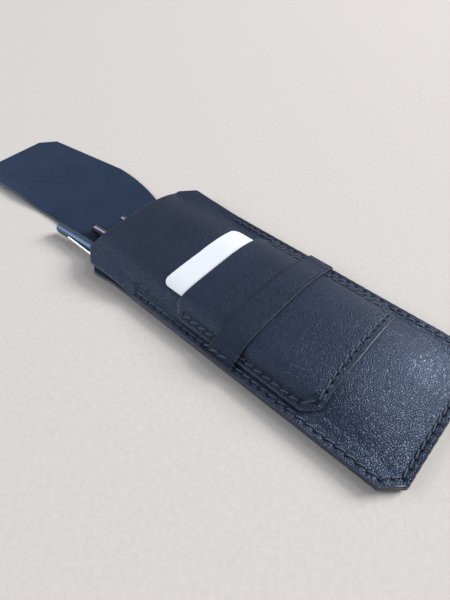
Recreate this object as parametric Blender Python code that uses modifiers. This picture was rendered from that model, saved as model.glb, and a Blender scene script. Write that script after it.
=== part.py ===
"""Leather pen case with a sewn front, a card pocket, a strap and a folding flap.

It lies on its back with the flap open. X runs across the case, Y from the closed
end to the mouth and on to the flap, and Z up. The origin is the middle of the
back panel's flat underside. Lengths are in metres.
"""

import math

import bpy
import bmesh
from mathutils import Matrix, Vector
from mathutils.bvhtree import BVHTree

MM = 0.001

# Case outline and leather
CASE_WIDTH = 76 * MM
CASE_LENGTH = 176 * MM
CORNER_CUT = 8 * MM
PANEL_LEATHER = 1.4 * MM
TRIM_LEATHER = 1.0 * MM
LAYER_GAP = 0.25 * MM

# Seam round the sides and the closed end
SEAM_INSET = 3.2 * MM
UNSEWN_LENGTH = 39 * MM
THREAD_RADIUS = 0.25 * MM
THREAD_GAP = 0.2 * MM
THREAD_PITCH = 4.4 * MM
THREAD_REACH = 0.5 * MM
THREAD_STEP = 1.2 * MM
CREASE_INSIDE_SEAM = 0.8 * MM

# Shape of the back, which curls up to the sewn edges
BACK_CURL_WIDTH = 10 * MM
SIDE_LIFT = 2.0 * MM
END_LIFT = 1.2 * MM
END_LIFT_LENGTH = 14 * MM
MOUTH_FLATTEN = 18 * MM

# Room between the panels
MIDDLE_ROOM = 8.2 * MM
ARCH_FULLNESS = 3.0
PEN_SIDE_FULLNESS = 6.5
FULLNESS_CHANGE_LENGTH = 77 * MM
CREASE_WIDTH = 4 * MM
CLOSED_END_SLOPE = 40 * MM
CLOSED_END_ROUNDNESS = 2.0

# Loose top of the front panel
LOOSE_EDGE_LEFT = 8.4 * MM
LOOSE_EDGE_RIGHT = 5.6 * MM
LOOSE_BLEND = 33 * MM
LOOSE_SIDE_WIDTH = 11.8 * MM
LOOSE_SIDE_EASE = 1.5 * MM

# Card and its pocket
CARD_WIDTH = 50 * MM
CARD_LENGTH = 84 * MM
CARD_THICKNESS = 0.4 * MM
CARD_CORNER = 4 * MM
CARD_ABOVE_POCKET = 13.6 * MM
CARD_GAP = 0.15 * MM
POCKET_LOW = 38.5 * MM
POCKET_HIGH = 114.8 * MM
POCKET_MARGIN = 4.8 * MM
POCKET_CORNER_CUT = 6 * MM
POCKET_SEAM_INSET = 3.0 * MM
POCKET_BOTTOM_SEAM_INSET = 3.6 * MM
POCKET_SWELL_WIDTH = 3 * MM
POCKET_SEAM_ROLL = 1 * MM
POCKET_GAP = 0.35 * MM
POCKET_FALL = 0.6
POCKET_FALL_START = 1 * MM

# Strap
STRAP_LOW = 75.8 * MM
STRAP_HIGH = 89.4 * MM
STRAP_DROP_INSET = 4.5 * MM
STRAP_DROP_WIDTH = 1.6 * MM
STRAP_GAP = 0.3 * MM
STRAP_BRIDGE = 2.5 * MM
STRAP_THREAD_ROOM_WIDTH = 3 * MM
STRAP_THREAD_LEAD = 5.2 * MM

# Flap
NECK_LEFT_INSET = 9.4 * MM
NECK_RIGHT_INSET = 20.2 * MM
NECK_SHOULDER = 1.5 * MM
FLARE_RIGHT_INSET = 10.5 * MM
FLARE_LENGTH = 50 * MM
LEFT_TURN_LENGTH = 42 * MM
LEFT_SKEW = 0.075
RIGHT_SKEW = 0.133
FOLD_BEYOND_MOUTH = 33 * MM
SPINE_HEIGHT = 12 * MM
FLAP_LENGTH = 117 * MM
FLAP_CORNER_CUT = 8.5 * MM
FOLD_GAP = 0.3 * MM

# Pens
PEN_RADIUS = 2.8 * MM
PEN_LENGTH = 136 * MM
CAP_LENGTH = 52 * MM
CAP_WALL = 0.5 * MM
CAP_END_WALL = 3 * MM
CAP_DOME_RISE = 2 * MM
CAP_CLEARANCE = 0.3 * MM
NECK_IN_CAP = 30 * MM
POINT_LENGTH = 14 * MM
CLIP_LENGTH = 27 * MM
CLIP_WIDTH = 2.2 * MM
CLIP_THICKNESS = 0.5 * MM
CLIP_STANDOFF = 0.3 * MM
CLIP_FOOT = 3 * MM
CLIP_BEND = 0.5 * MM
CLIP_TIP = 2 * MM
NIB_TIP_RADIUS = 0.4 * MM
NIB_CONE = 4 * MM
NIB_COLLAR = 3 * MM
BARREL_TAPER = 4 * MM
BARREL_TAPER_RADIUS = 0.85
BARREL_ROUNDING = 1.2 * MM
BARREL_END_RADIUS = 0.6

# Each pen: name, distance from the case's left edge at the mouth, how far it stands
# out of the mouth, turn towards the middle, clip's turn round the pen from straight
# up, and the clip's distance from the end
PENS = (
    ("pen_left", 8.4 * MM, 29.5 * MM, math.radians(4.2), math.radians(92), 12 * MM),
    ("pen_middle", 19.4 * MM, 15.0 * MM, math.radians(3.2), math.radians(18), 3.5 * MM),
    ("pen_right", 33.4 * MM, 8.0 * MM, math.radians(2.4), math.radians(18), 1.6 * MM),
)

# Colours
NAVY_GRAIN = (0.018, 0.022, 0.040, 1.0)
NAVY_SMOOTH = (0.021, 0.031, 0.058, 1.0)
NAVY_THREAD = (0.010, 0.011, 0.020, 1.0)
CARD_WHITE = (0.86, 0.87, 0.88, 1.0)
STEEL_BLUE = (0.10, 0.17, 0.27, 1.0)
PEN_BLACK = (0.012, 0.012, 0.014, 1.0)
BRIGHT_METAL = (0.80, 0.80, 0.82, 1.0)

# Places that follow from the sizes above
BOTTOM = -CASE_LENGTH / 2
HALF = CASE_WIDTH / 2
SEAM_X = HALF - SEAM_INSET
SEWN_LENGTH = CASE_LENGTH - UNSEWN_LENGTH
CREASE_X = SEAM_X - CREASE_INSIDE_SEAM
FRONT_BASE = PANEL_LEATHER + LAYER_GAP
CARD_ROOM = CARD_THICKNESS + LAYER_GAP
CARD_HALF = CARD_WIDTH / 2
POCKET_HALF = HALF - POCKET_MARGIN
BACK_FLAT_HALF = HALF - BACK_CURL_WIDTH
STRAP_DROP_START = HALF - STRAP_DROP_INSET
NECK_LEFT = HALF - NECK_LEFT_INSET
FLARE_RIGHT = HALF - FLARE_RIGHT_INSET
FLARE_END = CASE_LENGTH + FLARE_LENGTH
LEFT_TURN = CASE_LENGTH + LEFT_TURN_LENGTH
LOWER_FOLD = CASE_LENGTH + FOLD_BEYOND_MOUTH
FLAP_END = CASE_LENGTH + FLAP_LENGTH
UPPER_FOLD = LOWER_FOLD + SPINE_HEIGHT
CARD_HIGH = POCKET_HIGH + CARD_ABOVE_POCKET
CARD_LOW = CARD_HIGH - CARD_LENGTH
PEN_AXIS_Z = PANEL_LEATHER + LAYER_GAP + PEN_RADIUS


def smooth(t):
    """0 below 0, 1 above 1 and an even S between."""
    t = min(max(t, 0.0), 1.0)
    return t * t * (3 - 2 * t)


def back_height(x, s):
    """Underside of the back panel, s being the distance from the closed end."""
    side = SIDE_LIFT * smooth((abs(x) - BACK_FLAT_HALF) / (CREASE_X - BACK_FLAT_HALF))
    flat = smooth((s - CASE_LENGTH + CORNER_CUT + MOUTH_FLATTEN) / MOUTH_FLATTEN)
    end = END_LIFT * (1 - smooth(s / END_LIFT_LENGTH))
    return max(side * (1 - flat), end)


def room(x, s):
    """Inner height of the case above its sewn layers, once the sides are sewn."""
    from_end = (s - SEAM_INSET - CREASE_INSIDE_SEAM) / CLOSED_END_SLOPE
    end = 1 - (1 - min(max(from_end, 0.0), 1.0)) ** CLOSED_END_ROUNDNESS
    fullness = ARCH_FULLNESS
    if x < 0:
        change = smooth(1 - (SEWN_LENGTH - s) / FULLNESS_CHANGE_LENGTH)
        fullness += (PEN_SIDE_FULLNESS - ARCH_FULLNESS) * change
    arch = 1 - min(abs(x) / CREASE_X, 1.0) ** fullness
    return MIDDLE_ROOM * end * arch * smooth((CREASE_X - abs(x)) / CREASE_WIDTH)


def front_height(x, s):
    """Underside of the front panel."""
    sewn = back_height(x, s) + FRONT_BASE + room(x, s)
    if s <= SEWN_LENGTH:
        return sewn
    middle = HALF - LOOSE_SIDE_WIDTH
    beyond = max(0.0, abs(x) - middle)
    held = min(abs(x), middle) + LOOSE_SIDE_EASE * (1 - math.exp(-beyond / LOOSE_SIDE_EASE))
    inner = FRONT_BASE + room(math.copysign(held, x), s)
    edge = LOOSE_EDGE_LEFT if x < 0 else LOOSE_EDGE_RIGHT
    loose = inner + (edge - inner) * smooth(beyond / LOOSE_SIDE_WIDTH)
    loosened = smooth((s - SEWN_LENGTH) / LOOSE_BLEND)
    return sewn + (loose - sewn) * loosened


def card_height(x, s):
    """Underside of what the card lies on, the same along the whole case."""
    return front_height(min(max(x, -CARD_HALF), CARD_HALF), SEWN_LENGTH)


def pocket_height(x, s):
    """Front panel's underside, raised where the card keeps the pocket up."""
    fall = POCKET_FALL * max(0.0, abs(x) - CARD_HALF - POCKET_FALL_START)
    return max(front_height(x, s), card_height(x, s) - fall)


def evenly(low, high, count):
    """count + 1 values from low to high."""
    return [low + (high - low) * k / count for k in range(count + 1)]


def across(half, margin_start, inner_count, margin_count):
    """Columns from -half to half, closer together near the seam."""
    turns = evenly(0, math.pi / 2, inner_count)
    inner = [margin_start * math.sin(turn) for turn in turns]
    outer = evenly(margin_start, half, margin_count)[1:] if half > margin_start else []
    right = inner + outer
    return [-x for x in reversed(right[1:])] + right


def cut_corners(s, low, high, half, cut, cut_low=True, cut_high=True):
    """Half width at s of a rectangle whose corners are cut at 45 degrees."""
    width = half
    if cut_low:
        width = min(width, half - cut + (s - low))
    if cut_high:
        width = min(width, half - cut + (high - s))
    return width


def material(name, colour, roughness, metallic=0.0):
    made = bpy.data.materials.new(name)
    made.use_nodes = True
    shader = made.node_tree.nodes["Principled BSDF"]
    shader.inputs["Base Color"].default_value = colour
    shader.inputs["Roughness"].default_value = roughness
    shader.inputs["Metallic"].default_value = metallic
    return made


def add_object(name, data, look, collection):
    obj = bpy.data.objects.new(name, data)
    obj.data.materials.append(look)
    collection.objects.link(obj)
    return obj


def sheet(name, columns, rows, edges, height, clearance, thickness, look, collection):
    """A leather or card sheet: a grid laid on a height, moved off it by a clearance.

    columns run from -1 to 1 between the edges of each row, rows are distances from
    the closed end, edges gives the left and right X of a row, and clearance is a
    length or a function of X and the row.
    """
    bm = bmesh.new()
    bmesh.ops.create_grid(
        bm, x_segments=len(columns) - 1, y_segments=len(rows) - 1, size=0.5
    )
    bm.verts.ensure_lookup_table()
    for vert in bm.verts:
        column = round((vert.co.x + 0.5) * (len(columns) - 1))
        row = round((vert.co.y + 0.5) * (len(rows) - 1))
        s = rows[row]
        left, right = edges(s)
        share = (columns[column] + 1) / 2
        x = left + (right - left) * share
        vert.co = Vector((x, BOTTOM + s, height(x, s)))
    bm.normal_update()
    moves = []
    for vert in bm.verts:
        off = clearance(vert.co.x, vert.co.y - BOTTOM) if callable(clearance) else clearance
        moves.append(vert.normal * off)
    for vert, move in zip(bm.verts, moves):
        vert.co += move
    mesh = bpy.data.meshes.new(name)
    bm.to_mesh(mesh)
    bm.free()
    obj = add_object(name, mesh, look, collection)
    solid = obj.modifiers.new("leather", "SOLIDIFY")
    solid.thickness = thickness
    solid.offset = 1.0
    return obj


def shares(xs):
    """Columns given as X turned into shares of the half width."""
    return [x / xs[-1] for x in xs]


def make_back_panel(look, collection):
    def edges(s):
        if s <= CASE_LENGTH:
            half = cut_corners(s, 0, CASE_LENGTH, HALF, CORNER_CUT)
            return -half, half
        return flap_edges(s)

    rows = [0, SEAM_INSET, CORNER_CUT, END_LIFT_LENGTH]
    rows += evenly(2 * END_LIFT_LENGTH, CASE_LENGTH - CORNER_CUT, 8)
    rows += [CASE_LENGTH, CASE_LENGTH + NECK_SHOULDER]
    rows += evenly(CASE_LENGTH + 4 * NECK_SHOULDER, LOWER_FOLD - FOLD_GAP / 2, 3)
    xs = [0, BACK_FLAT_HALF / 2] + evenly(BACK_FLAT_HALF, CREASE_X, 4) + [HALF]
    xs = [-x for x in reversed(xs[1:])] + xs
    return sheet(
        "back_panel", shares(xs), rows, edges, back_height, 0.0, PANEL_LEATHER, look, collection
    )


def flap_edges(s):
    """Left and right edge of the neck and the flap."""
    left = -NECK_LEFT - LEFT_SKEW * max(0.0, s - LEFT_TURN)
    right = FLARE_RIGHT - RIGHT_SKEW * max(0.0, s - FLARE_END)
    if s < FLARE_END:
        inset = NECK_RIGHT_INSET - FLARE_RIGHT_INSET
        right -= inset * ((FLARE_END - s) / FLARE_LENGTH) ** 2
    cut = max(0.0, FLAP_CORNER_CUT - (FLAP_END - s))
    return left + cut, right - cut


def make_flap(name, low, high, look, collection):
    row_count = 4 if high > UPPER_FOLD else 2
    rows = evenly(low, min(high, FLAP_END - FLAP_CORNER_CUT), row_count)
    if high > rows[-1]:
        rows.append(high)
    columns = evenly(-1, 1, 4)
    flap = sheet(name, columns, rows, flap_edges, lambda x, s: 0.0, 0.0, PANEL_LEATHER, look, collection)
    # The origin goes onto the fold, at the top of the leather, where the piece turns
    hinge = Vector((0, BOTTOM + low - FOLD_GAP / 2, PANEL_LEATHER))
    flap.data.transform(Matrix.Translation(-hinge))
    flap.location = hinge
    return flap


def make_front_panel(look, collection):
    def edges(s):
        half = cut_corners(s, 0, CASE_LENGTH, HALF, CORNER_CUT)
        return -half, half

    crease = SEAM_INSET + CREASE_INSIDE_SEAM
    rows = [0, crease]
    rows += evenly(CORNER_CUT, crease + CLOSED_END_SLOPE, 5)
    rows += evenly(crease + CLOSED_END_SLOPE, SEWN_LENGTH, 5)[1:]
    rows += evenly(SEWN_LENGTH, CASE_LENGTH - CORNER_CUT, 4)[1:]
    rows += [CASE_LENGTH]
    return sheet(
        "front_panel",
        shares(across(HALF, CREASE_X, 10, 2)),
        rows,
        edges,
        front_height,
        0.0,
        PANEL_LEATHER,
        look,
        collection,
    )


def pocket_swell(x, s):
    """Distance of the pocket from the front panel's underside."""
    inside = smooth((POCKET_HALF - POCKET_SEAM_INSET - abs(x)) / POCKET_SWELL_WIDTH)
    seam = POCKET_LOW + POCKET_BOTTOM_SEAM_INSET
    inside *= smooth((s - seam + POCKET_SEAM_ROLL) / POCKET_SEAM_ROLL)
    return PANEL_LEATHER + POCKET_GAP + CARD_ROOM * inside


def make_card_pocket(look, collection):
    def edges(s):
        half = cut_corners(s, POCKET_LOW, POCKET_HIGH, POCKET_HALF, POCKET_CORNER_CUT)
        return -half, half

    rows = [POCKET_LOW, POCKET_LOW + POCKET_BOTTOM_SEAM_INSET, POCKET_LOW + POCKET_CORNER_CUT]
    rows += evenly(POCKET_LOW + 2 * POCKET_CORNER_CUT, POCKET_HIGH - POCKET_CORNER_CUT, 4)
    rows += evenly(POCKET_HIGH - POCKET_CORNER_CUT, POCKET_HIGH, 2)[1:]
    return sheet(
        "card_pocket",
        shares(across(POCKET_HALF, POCKET_HALF - POCKET_SEAM_INSET, 9, 2)),
        rows,
        edges,
        pocket_height,
        pocket_swell,
        TRIM_LEATHER,
        look,
        collection,
    )


def over_pocket(x):
    """1 where the strap lies on the pocket, falling to 0 beside it."""
    return 1 - smooth((abs(x) - STRAP_DROP_START) / STRAP_DROP_WIDTH)


def strap_height(x, s):
    """The pocket's height, but level across the hollow at the pocket's edge."""
    bridge = STRAP_BRIDGE * over_pocket(x)
    beside = pocket_height(x - bridge, s) + pocket_height(x + bridge, s)
    return max(pocket_height(x, s), beside / 2)


def strap_clearance(x, s):
    swell = smooth((POCKET_HALF - POCKET_SEAM_INSET - abs(x)) / POCKET_SWELL_WIDTH)
    seam = POCKET_HALF - POCKET_SEAM_INSET
    thread = smooth((abs(x) - seam + STRAP_THREAD_LEAD) / STRAP_THREAD_ROOM_WIDTH)
    above = TRIM_LEATHER + STRAP_GAP + (2 * THREAD_RADIUS + THREAD_GAP) * thread
    return PANEL_LEATHER + POCKET_GAP + above * over_pocket(x) + CARD_ROOM * swell


def make_strap(look, collection):
    rows = evenly(STRAP_LOW, STRAP_HIGH, 2)
    drop_end = STRAP_DROP_START + STRAP_DROP_WIDTH
    xs = across(POCKET_HALF, POCKET_HALF - POCKET_SEAM_INSET, 9, 2)
    outer = [STRAP_DROP_START, drop_end - STRAP_DROP_WIDTH / 2, drop_end, HALF]
    xs = [-x for x in reversed(outer)] + xs + outer
    return sheet(
        "closing_strap",
        shares(xs),
        rows,
        lambda s: (-HALF, HALF),
        strap_height,
        strap_clearance,
        TRIM_LEATHER,
        look,
        collection,
    )


def make_card(look, collection):
    def edges(s):
        from_end = min(s - CARD_LOW, CARD_HIGH - s, CARD_CORNER)
        inset = CARD_CORNER - math.sqrt(CARD_CORNER**2 - (CARD_CORNER - from_end) ** 2)
        return -CARD_HALF + inset, CARD_HALF - inset

    turn = [CARD_CORNER * (1 - math.cos(angle)) for angle in evenly(0, math.pi / 2, 4)]
    rows = [CARD_LOW + t for t in turn] + [CARD_HIGH - t for t in reversed(turn)]
    return sheet(
        "visiting_card",
        shares(across(CARD_HALF, CARD_HALF, 6, 0)),
        rows,
        edges,
        card_height,
        PANEL_LEATHER + CARD_GAP,
        CARD_THICKNESS,
        look,
        collection,
    )


def side_route(half, low, high, cut, pitch):
    """X and distance along a U: down the left side, across the end, up the right."""
    count = round((high - low - cut) / pitch)
    left = [(-half, s) for s in evenly(high, low + cut, count)]
    right = [(half, s) for s in evenly(low + cut, high, count)]
    end = [(x, low) for x in evenly(-(half - cut), half - cut, round(2 * half / pitch))]
    corner = (half - cut / 2, low + cut / 2)
    return left + [(-corner[0], corner[1])] + end + [corner] + right


def over_strap(route):
    """The same route with points added where it climbs the strap's two edges."""
    climbs = []
    for s, out in ((STRAP_LOW, -1), (STRAP_HIGH, 1)):
        climbs += [s + out * THREAD_STEP, s + out * THREAD_REACH * 0.8]
    middle = [p for p in route if abs(p[0]) < SEAM_X]
    sides = []
    for side, direction in ((-SEAM_X, -1), (SEAM_X, 1)):
        stops = [s for x, s in route if x == side] + climbs
        sides.append([(side, s) for s in sorted(stops, key=lambda s: direction * s)])
    return sides[0] + middle + sides[1]


def thread(name, route, under, facing, look, collection):
    """A sewing thread laid on the pieces under it, on the side that faces +Z or -Z."""
    graph = bpy.context.evaluated_depsgraph_get()
    trees = [BVHTree.FromObject(obj, graph) for obj in under]
    places = []
    for x, s in route:
        tops = []
        for reach in (-THREAD_REACH, 0.0, THREAD_REACH):
            start = Vector((x, BOTTOM + s + reach, facing * CASE_WIDTH))
            for tree in trees:
                hit, normal, _, _ = tree.ray_cast(start, Vector((0, 0, -facing)))
                if hit:
                    off = (THREAD_GAP + THREAD_RADIUS) / abs(normal.z)
                    tops.append(facing * hit.z + off)
        places.append((x, BOTTOM + s, facing * max(tops)))
    curve = bpy.data.curves.new(name, "CURVE")
    curve.dimensions = "3D"
    curve.bevel_depth = THREAD_RADIUS
    curve.bevel_resolution = 0
    curve.use_fill_caps = True
    spline = curve.splines.new("POLY")
    spline.points.add(len(places) - 1)
    for point, place in zip(spline.points, places):
        point.co = (*place, 1.0)
    add_object(name, curve, look, collection)


def make_threads(back, front, pocket, strap, look, collection):
    seam_cut = CORNER_CUT - SEAM_INSET * (2 - math.sqrt(2))
    seam = side_route(SEAM_X, SEAM_INSET, SEWN_LENGTH, seam_cut, THREAD_PITCH)
    thread("seam_thread_front", over_strap(seam), [front, strap], 1, look, collection)
    thread("seam_thread_back", seam, [back], -1, look, collection)
    pocket_x = POCKET_HALF - POCKET_SEAM_INSET
    pocket_low = POCKET_LOW + POCKET_BOTTOM_SEAM_INSET
    pocket_high = POCKET_HIGH - POCKET_CORNER_CUT
    pocket_cut = POCKET_CORNER_CUT - POCKET_SEAM_INSET * (2 - math.sqrt(2))
    route = side_route(pocket_x, pocket_low, pocket_high, pocket_cut, THREAD_PITCH)
    thread("pocket_thread", route, [pocket], 1, look, collection)


def turned(name, profile, look, collection):
    """A solid of revolution about Z from radius and height pairs, top to bottom."""
    mesh = bpy.data.meshes.new(name)
    verts = [(r, 0.0, z) for r, z in profile]
    mesh.from_pydata(verts, [(k, k + 1) for k in range(len(verts) - 1)], [])
    obj = add_object(name, mesh, look, collection)
    screw = obj.modifiers.new("turn", "SCREW")
    screw.steps = 16
    screw.render_steps = 16
    screw.use_merge_vertices = True
    screw.merge_threshold = 0.00001
    screw.use_smooth_shade = True
    return obj


def dome(radius, rise, count):
    """Radius and height pairs of a rounded end, from the axis outwards."""
    angles = evenly(0, math.pi / 2, count)
    return [(radius * math.sin(angle), -rise * (1 - math.cos(angle))) for angle in angles]


def make_pen(name, from_edge, out, turn, clip_turn, clip_from_end, looks, collection):
    """One pen, built along Z with its capped end at 0, then laid into the case."""
    body, cap_look, metal = looks
    bore = PEN_RADIUS - CAP_WALL
    neck = bore - CAP_CLEARANCE
    neck_top = -CAP_LENGTH + NECK_IN_CAP
    barrel = turned(
        name + "_barrel",
        [
            (0.0, neck_top),
            (neck, neck_top),
            (neck, -CAP_LENGTH - CAP_CLEARANCE),
            (PEN_RADIUS, -CAP_LENGTH - CAP_CLEARANCE),
            (PEN_RADIUS, -PEN_LENGTH + BARREL_TAPER),
            (PEN_RADIUS * BARREL_TAPER_RADIUS, -PEN_LENGTH + BARREL_ROUNDING),
            (PEN_RADIUS * BARREL_END_RADIUS, -PEN_LENGTH),
            (0.0, -PEN_LENGTH),
        ],
        body,
        collection,
    )
    point_low = neck_top + CAP_CLEARANCE
    point_top = point_low + POINT_LENGTH
    point = turned(
        name + "_point",
        [
            (0.0, point_top),
            (NIB_TIP_RADIUS, point_top - NIB_TIP_RADIUS),
            (neck / 2, point_top - NIB_CONE),
            (neck, point_low + NIB_COLLAR),
            (neck, point_low),
            (0.0, point_low),
        ],
        metal,
        collection,
    )
    cap = turned(
        name + "_cap",
        dome(PEN_RADIUS, CAP_DOME_RISE, 4)
        + [
            (PEN_RADIUS, -CAP_LENGTH),
            (bore, -CAP_LENGTH),
            (bore, -CAP_END_WALL),
            (0.0, -CAP_END_WALL),
        ],
        cap_look,
        collection,
    )
    inner = PEN_RADIUS + LAYER_GAP
    low_side = PEN_RADIUS + CLIP_STANDOFF
    outer = low_side + CLIP_THICKNESS
    top = -clip_from_end
    tip = top - CLIP_LENGTH
    outline = [
        (inner, top),
        (inner, top - CLIP_FOOT),
        (low_side, top - CLIP_FOOT - CLIP_BEND),
        (low_side, tip + CLIP_TIP),
        (inner, tip + CLIP_TIP / 2),
        (inner, tip + CLIP_BEND),
        (low_side, tip),
        (outer, tip + CLIP_TIP / 2),
        (outer, top - CLIP_BEND),
        (low_side, top),
    ]
    curve = bpy.data.curves.new(name + "_clip", "CURVE")
    curve.dimensions = "2D"
    curve.fill_mode = "BOTH"
    curve.extrude = CLIP_WIDTH / 2
    spline = curve.splines.new("POLY")
    spline.points.add(len(outline) - 1)
    for corner, (radius, z) in zip(spline.points, outline):
        corner.co = (radius, z, 0.0, 1.0)
    spline.use_cyclic_u = True
    clip = add_object(name + "_clip", curve, metal, collection)
    # Pen frame: local Z runs out of the mouth, local X points straight up
    along = Vector((-math.sin(turn), math.cos(turn), 0.0))
    up = Vector((0, 0, 1))
    side = along.cross(up)
    place = Vector((from_edge - HALF + out * along.x, BOTTOM + CASE_LENGTH + out, PEN_AXIS_Z))
    frame = Matrix((up, side, along)).transposed().to_4x4()
    frame.translation = place
    for piece in (barrel, point, cap):
        piece.matrix_world = frame
    # The clip's outline has the pen's length as its Y, so it is stood up and turned
    stand = Matrix.Rotation(math.pi / 2, 4, "X")
    clip.matrix_world = frame @ Matrix.Rotation(-clip_turn, 4, "Z") @ stand


def main():
    for obj in list(bpy.data.objects):
        bpy.data.objects.remove(obj, do_unlink=True)
    collection = bpy.data.collections.new("leather_pen_case")
    bpy.context.scene.collection.children.link(collection)
    grain = material("navy_grain_leather", NAVY_GRAIN, 0.45)
    smooth_side = material("navy_flap_leather", NAVY_SMOOTH, 0.7)
    thread_look = material("navy_thread", NAVY_THREAD, 0.6)
    white = material("card_stock", CARD_WHITE, 0.5)
    blue = material("steel_blue_lacquer", STEEL_BLUE, 0.25)
    black = material("black_lacquer", PEN_BLACK, 0.25)
    metal = material("bright_metal", BRIGHT_METAL, 0.15, 1.0)
    back = make_back_panel(smooth_side, collection)
    half_gap = FOLD_GAP / 2
    make_flap("flap_spine", LOWER_FOLD + half_gap, UPPER_FOLD - half_gap, smooth_side, collection)
    make_flap("flap_tongue", UPPER_FOLD + half_gap, FLAP_END, smooth_side, collection)
    front = make_front_panel(grain, collection)
    pocket = make_card_pocket(grain, collection)
    strap = make_strap(grain, collection)
    make_card(white, collection)
    make_threads(back, front, pocket, strap, thread_look, collection)
    looks = ((black, blue, metal), (black, black, metal), (black, black, metal))
    for pen, look in zip(PENS, looks):
        make_pen(*pen, look, collection)


main()
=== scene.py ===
import math

import bpy
import numpy as np
from mathutils import Matrix, Vector


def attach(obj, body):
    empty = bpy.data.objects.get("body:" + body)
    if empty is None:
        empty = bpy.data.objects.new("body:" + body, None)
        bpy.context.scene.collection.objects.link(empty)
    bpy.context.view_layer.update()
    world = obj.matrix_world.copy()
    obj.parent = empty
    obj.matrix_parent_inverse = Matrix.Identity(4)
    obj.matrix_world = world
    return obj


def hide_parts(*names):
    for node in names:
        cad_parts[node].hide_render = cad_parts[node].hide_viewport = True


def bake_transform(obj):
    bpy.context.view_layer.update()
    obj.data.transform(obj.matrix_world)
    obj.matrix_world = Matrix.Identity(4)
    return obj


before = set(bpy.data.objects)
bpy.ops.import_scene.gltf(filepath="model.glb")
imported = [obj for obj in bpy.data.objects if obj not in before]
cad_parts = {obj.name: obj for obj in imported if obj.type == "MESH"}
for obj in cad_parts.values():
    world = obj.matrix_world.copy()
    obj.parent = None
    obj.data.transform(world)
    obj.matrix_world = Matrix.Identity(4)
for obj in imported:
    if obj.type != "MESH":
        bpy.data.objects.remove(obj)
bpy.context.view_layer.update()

# Back panel and flap
# One piece of navy hide: the back of the case, its neck and the long folding flap.
# It is cut with a knife, its edges are burnished, and it bends at two fold lines.

MM = 0.001
CASE_WIDTH = 76 * MM
CASE_LENGTH = 176 * MM
CORNER_CUT = 8 * MM
MOUTH_LEFT_CUT_RUN = 10.5 * MM
MOUTH_SPREAD = 1.2 * MM
MOUTH_SPREAD_LENGTH = 30 * MM
PANEL_LEATHER = 1.4 * MM
EDGE_ROUNDING = 0.55 * MM
EDGE_STEPS = 8
EDGE_SQUARENESS = 0.6
BACK_CURL_WIDTH = 10 * MM
SIDE_LIFT = 2.0 * MM
END_LIFT = 1.2 * MM
END_LIFT_LENGTH = 14 * MM
MOUTH_FLATTEN = 18 * MM
SEAM_INSET = 3.2 * MM
CREASE_INSIDE_SEAM = 0.8 * MM
NECK_LEFT_INSET = 9.4 * MM
NECK_RIGHT_INSET = 20.2 * MM
NECK_SHOULDER = 1.5 * MM
FLARE_RIGHT_INSET = 10.5 * MM
FLARE_LENGTH = 50 * MM
LEFT_TURN_LENGTH = 42 * MM
LEFT_SKEW = 0.075
RIGHT_SKEW = 0.133
FOLD_BEYOND_MOUTH = 33 * MM
SPINE_HEIGHT = 12 * MM
FLAP_LENGTH = 117 * MM
FLAP_CORNER_CUT = 8.5 * MM
FOLD_BEND = 6.5 * MM
FOLD_CUT_BEFORE = 6 * MM
SPINE_CUT_SHARE = 0.75
TONGUE_CURL = 2.2 * MM
TONGUE_CURL_WIDTH = 10 * MM
TONGUE_CURL_RUN = 26 * MM
# Painted shade: the share by which the colour is darkened in the grain's creases
CREASE_PAINTED_SHADE = 0.6
# Painted shade in the stitch holes and grooves: the colour there is multiplied by this, and the shine
# falls to SEAM_SHINE
SEAM_PAINTED_SHADE = (0.12, 0.12, 0.15, 1.0)
HIDE_SHINE = 0.42
SEAM_SHINE = 0.05
HANDLED_SHINE = 0.25
HANDLED_SMOOTHING = 0.08

HALF = CASE_WIDTH / 2
BOTTOM = -CASE_LENGTH / 2
SEAM_X = HALF - SEAM_INSET
CREASE_X = SEAM_X - CREASE_INSIDE_SEAM
LOWER_FOLD = CASE_LENGTH + FOLD_BEYOND_MOUTH
UPPER_FOLD = LOWER_FOLD + SPINE_HEIGHT
FLAP_END = CASE_LENGTH + FLAP_LENGTH
FLAP_START = LOWER_FOLD - FOLD_CUT_BEFORE
FLAP_SPLIT = LOWER_FOLD + SPINE_HEIGHT * SPINE_CUT_SHARE


def smooth(t):
    """0 below 0, 1 above 1 and an even S between."""
    t = np.clip(t, 0.0, 1.0)
    return t * t * (3 - 2 * t)


def back_height(x, s):
    """Underside of the back panel, s being the distance from the closed end."""
    curl_start = HALF - BACK_CURL_WIDTH
    side = SIDE_LIFT * smooth((abs(x) - curl_start) / (CREASE_X - curl_start))
    flat = smooth((s - CASE_LENGTH + CORNER_CUT + MOUTH_FLATTEN) / MOUTH_FLATTEN)
    end = END_LIFT * (1 - smooth(s / END_LIFT_LENGTH))
    return np.maximum(side * (1 - flat), end)


def laid(height, x, s, off):
    """Points a distance off a height, square to it, and the way they face."""
    step = 0.15 * MM
    across_slope = (height(x + step, s) - height(x - step, s)) / (2 * step)
    along_slope = (height(x, s + step) - height(x, s - step)) / (2 * step)
    facing = np.stack([-across_slope, -along_slope, np.ones_like(x)], -1)
    facing /= np.linalg.norm(facing, axis=-1, keepdims=True)
    points = np.stack([x, s + BOTTOM, height(x, s)], -1)
    return points + facing * np.asarray(off)[..., None], facing


def cut_edges(low, high, half, cut_low, cut_high, left_run=None):
    """Left and right edge of a rectangle whose corners are cut at 45 degrees.

    left_run is how far the cut of the upper left corner runs down, where that differs.
    """

    def edges(s, inset):
        mitre = inset * (math.sqrt(2) - 1)
        right = np.full_like(s, half - inset)
        if cut_low:
            right = np.minimum(right, half - cut_low - mitre + (s - low))
        left = right
        if cut_high:
            slope = cut_high / (left_run or cut_high)
            left = np.minimum(right, half - cut_high - mitre + (high - s) * slope)
            right = np.minimum(right, half - cut_high - mitre + (high - s))
        return -left, right

    return edges


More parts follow.
